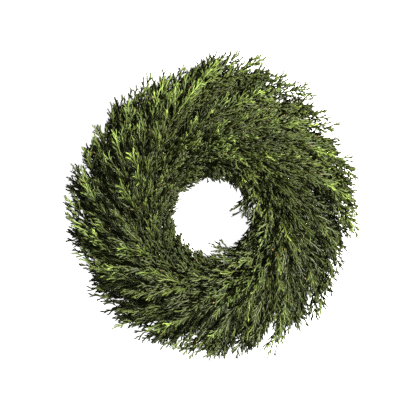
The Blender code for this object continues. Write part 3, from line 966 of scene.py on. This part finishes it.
def bud_material():
    shades = Shades("rust cone buds")
    tint, _, _, _ = shades.look()
    scales = shades.scale_leaves(BUD_SCALE_SPACING)
    edges = shades.ramp(scales, (0.0, grey(0.5)), (0.4, grey(1.0)))
    brown = shades.mix(1.0, shades.ramp(tint, *BUD_BROWNS), edges, "MULTIPLY")
    shades.shade(Base_Color=brown, Roughness=0.62)
    shades.bump(scales, strength=0.6, distance=0.0003)
    return shades.material


def wire_material(name, dark, light, roughness, scale):
    shades = Shades(name)
    worn = shades.noise(scale, detail=4.0)
    rough = shades.nodes.new("ShaderNodeMapRange")
    rough.inputs["To Min"].default_value = roughness - 0.1
    rough.inputs["To Max"].default_value = roughness + 0.15
    shades.links.new(worn, rough.inputs["Value"])
    shades.shade(Base_Color=shades.ramp(worn, (0.42, dark), (0.66, light)), Metallic=0.35)
    shades.shade(Roughness=rough.outputs["Result"])
    return shades.material


# The ring and its binding


def round_wire(name, path, radius, rounding, cyclic, mat):
    """A round wire along a list of points. With more rounding it has more sides."""
    curve = bpy.data.curves.new(name, "CURVE")
    curve.dimensions = "3D"
    spline = curve.splines.new("POLY")
    spline.points.add(len(path) - 1)
    spline.points.foreach_set("co", np.column_stack([path, np.ones(len(path))]).astype(np.float32).ravel())
    spline.use_cyclic_u = cyclic
    spline.use_smooth = True
    curve.bevel_depth = radius
    curve.bevel_resolution = rounding
    curve.use_fill_caps = not cyclic
    curve.materials.append(mat)
    wire = bpy.data.objects.new(name, curve)
    bpy.context.scene.collection.objects.link(wire)
    return wire


def make_ring(middle, height):
    angle = np.linspace(0, 2 * math.pi, RING_POINTS, endpoint=False)
    x = middle[0] + RING_RADIUS * np.cos(angle)
    y = middle[1] + RING_RADIUS * np.sin(angle)
    path = np.column_stack([x, y, np.full(RING_POINTS, height)])
    mat = wire_material("ring enamel", **RING_ENAMEL)
    return round_wire("ring", path, RING_WIRE, rounding=4, cyclic=True, mat=mat)


def turn_reach(turn):
    """How far a taut turn runs from the ring's middle line.

    It lies round the three cut stems, which stand at thirds of a turn, and straight between them.
    """
    third = 2 * math.pi / 3
    stem_at = RING_WIRE + GAP + BUTT_RADIUS * math.cos(math.pi / STEM_SIDES)
    outside = BUTT_RADIUS * ROUND_SHARE + BINDING_WIRE + BINDING_GAP
    off = abs((turn - math.pi / 2 + third / 2) % third - third / 2)
    corner = math.atan2(outside * math.sin(third / 2), stem_at + outside / 2)
    if off < corner:
        return stem_at * math.cos(off) + math.sqrt(outside**2 - (stem_at * math.sin(off)) ** 2)
    return (stem_at / 2 + outside) / math.cos(third / 2 - off)


def make_binding(middle, height):
    path = []
    count = TURNS * POINTS_A_TURN
    for bunch in range(BUNCHES):
        start = -2 * math.pi * bunch / BUNCHES
        for i in range(count + 1):
            along = TURNS_START + (TURNS_END - TURNS_START) * i / count
            turn = -math.pi / 2 + 2 * math.pi * TURNS * i / count
            reach = turn_reach(turn)
            angle = start - along / RING_RADIUS
            out = RING_RADIUS + reach * math.cos(turn)
            x = middle[0] + out * math.cos(angle)
            y = middle[1] + out * math.sin(angle)
            path.append((x, y, height + reach * math.sin(turn)))
    mat = wire_material("binding lacquer", **BINDING_LACQUER)
    return round_wire("binding", np.array(path), BINDING_WIRE, rounding=2, cyclic=False, mat=mat)


# The stage


def make_floor():
    mesh = bpy.data.meshes.new("floor")
    corners = [(x * FLOOR_HALF, y * FLOOR_HALF, 0) for x, y in ((-1, -1), (1, -1), (1, 1), (-1, 1))]
    mesh.from_pydata(corners, [], [(0, 1, 2, 3)])
    floor = bpy.data.objects.new("floor", mesh)
    bpy.context.scene.collection.objects.link(floor)
    shades = Shades("pale floor")
    shades.shade(Base_Color=grey(FLOOR_WHITE), Roughness=0.9, Specular_IOR_Level=0.1)
    shades.shade(Emission_Color=grey(1.0), Emission_Strength=FLOOR_GLOW)
    mesh.materials.append(shades.material)
    floor.visible_diffuse = False
    floor.visible_glossy = False


def make_light(name, place, size, power, colour):
    data = bpy.data.lights.new(name, "AREA")
    data.shape = "DISK"
    data.size = size
    data.energy = power
    data.color = colour
    light = bpy.data.objects.new(name, data)
    light.location = place
    way = Vector(LIGHT_AIM) - Vector(place)
    light.rotation_euler = way.to_track_quat("-Z", "Y").to_euler()
    bpy.context.scene.collection.objects.link(light)


def make_camera():
    data = bpy.data.cameras.new("camera")
    data.sensor_width = SENSOR * 1000
    distance = CAMERA_HEIGHT - CAMERA_AIM[2]
    data.lens = SENSOR * 1000 * distance / (PHOTO_SIZE * PIXEL)
    camera = bpy.data.objects.new("camera", data)
    camera.location = (CAMERA_AIM[0], CAMERA_AIM[1], CAMERA_HEIGHT)
    bpy.context.scene.collection.objects.link(camera)
    bpy.context.scene.camera = camera


def light_world():
    world = bpy.data.worlds.new("studio")
    bpy.context.scene.world = world
    world.use_nodes = True
    background = world.node_tree.nodes["Background"]
    background.inputs["Color"].default_value = (1.0, 1.0, 1.0, 1.0)
    background.inputs["Strength"].default_value = ROOM_LIGHT


make_camera()
make_floor()
light_world()
for name, light in LIGHTS.items():
    make_light(name, **light)
bpy.context.scene.view_settings.view_transform = "Standard"

low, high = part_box("ring_frame")
MIDDLE = ((low[0] + high[0]) / 2, (low[1] + high[1]) / 2)
HEIGHT = (low[2] + high[2]) / 2

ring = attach(make_ring(MIDDLE, HEIGHT), "root")
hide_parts("ring_frame")
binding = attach(make_binding(MIDDLE, HEIGHT), "root")
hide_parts("binding_wire")

MATERIALS = [foliage_material(), bark_material(), bud_material()]
sprays = sorted(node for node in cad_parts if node.startswith("spray_"))
plans = [plan_spray(node, number, MIDDLE) for number, node in enumerate(sprays)]
canopy = Canopy(plans, np.array(MIDDLE) + HOLE_SHIFT)
for plan in plans:
    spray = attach(grow_spray(plan, MATERIALS, MIDDLE, canopy), "root")
    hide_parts(plan["node"])

bpy.context.view_layer.update()

bpy.context.scene.cycles.use_denoising = False
bpy.context.scene.cycles.sample_clamp_indirect = 1.0
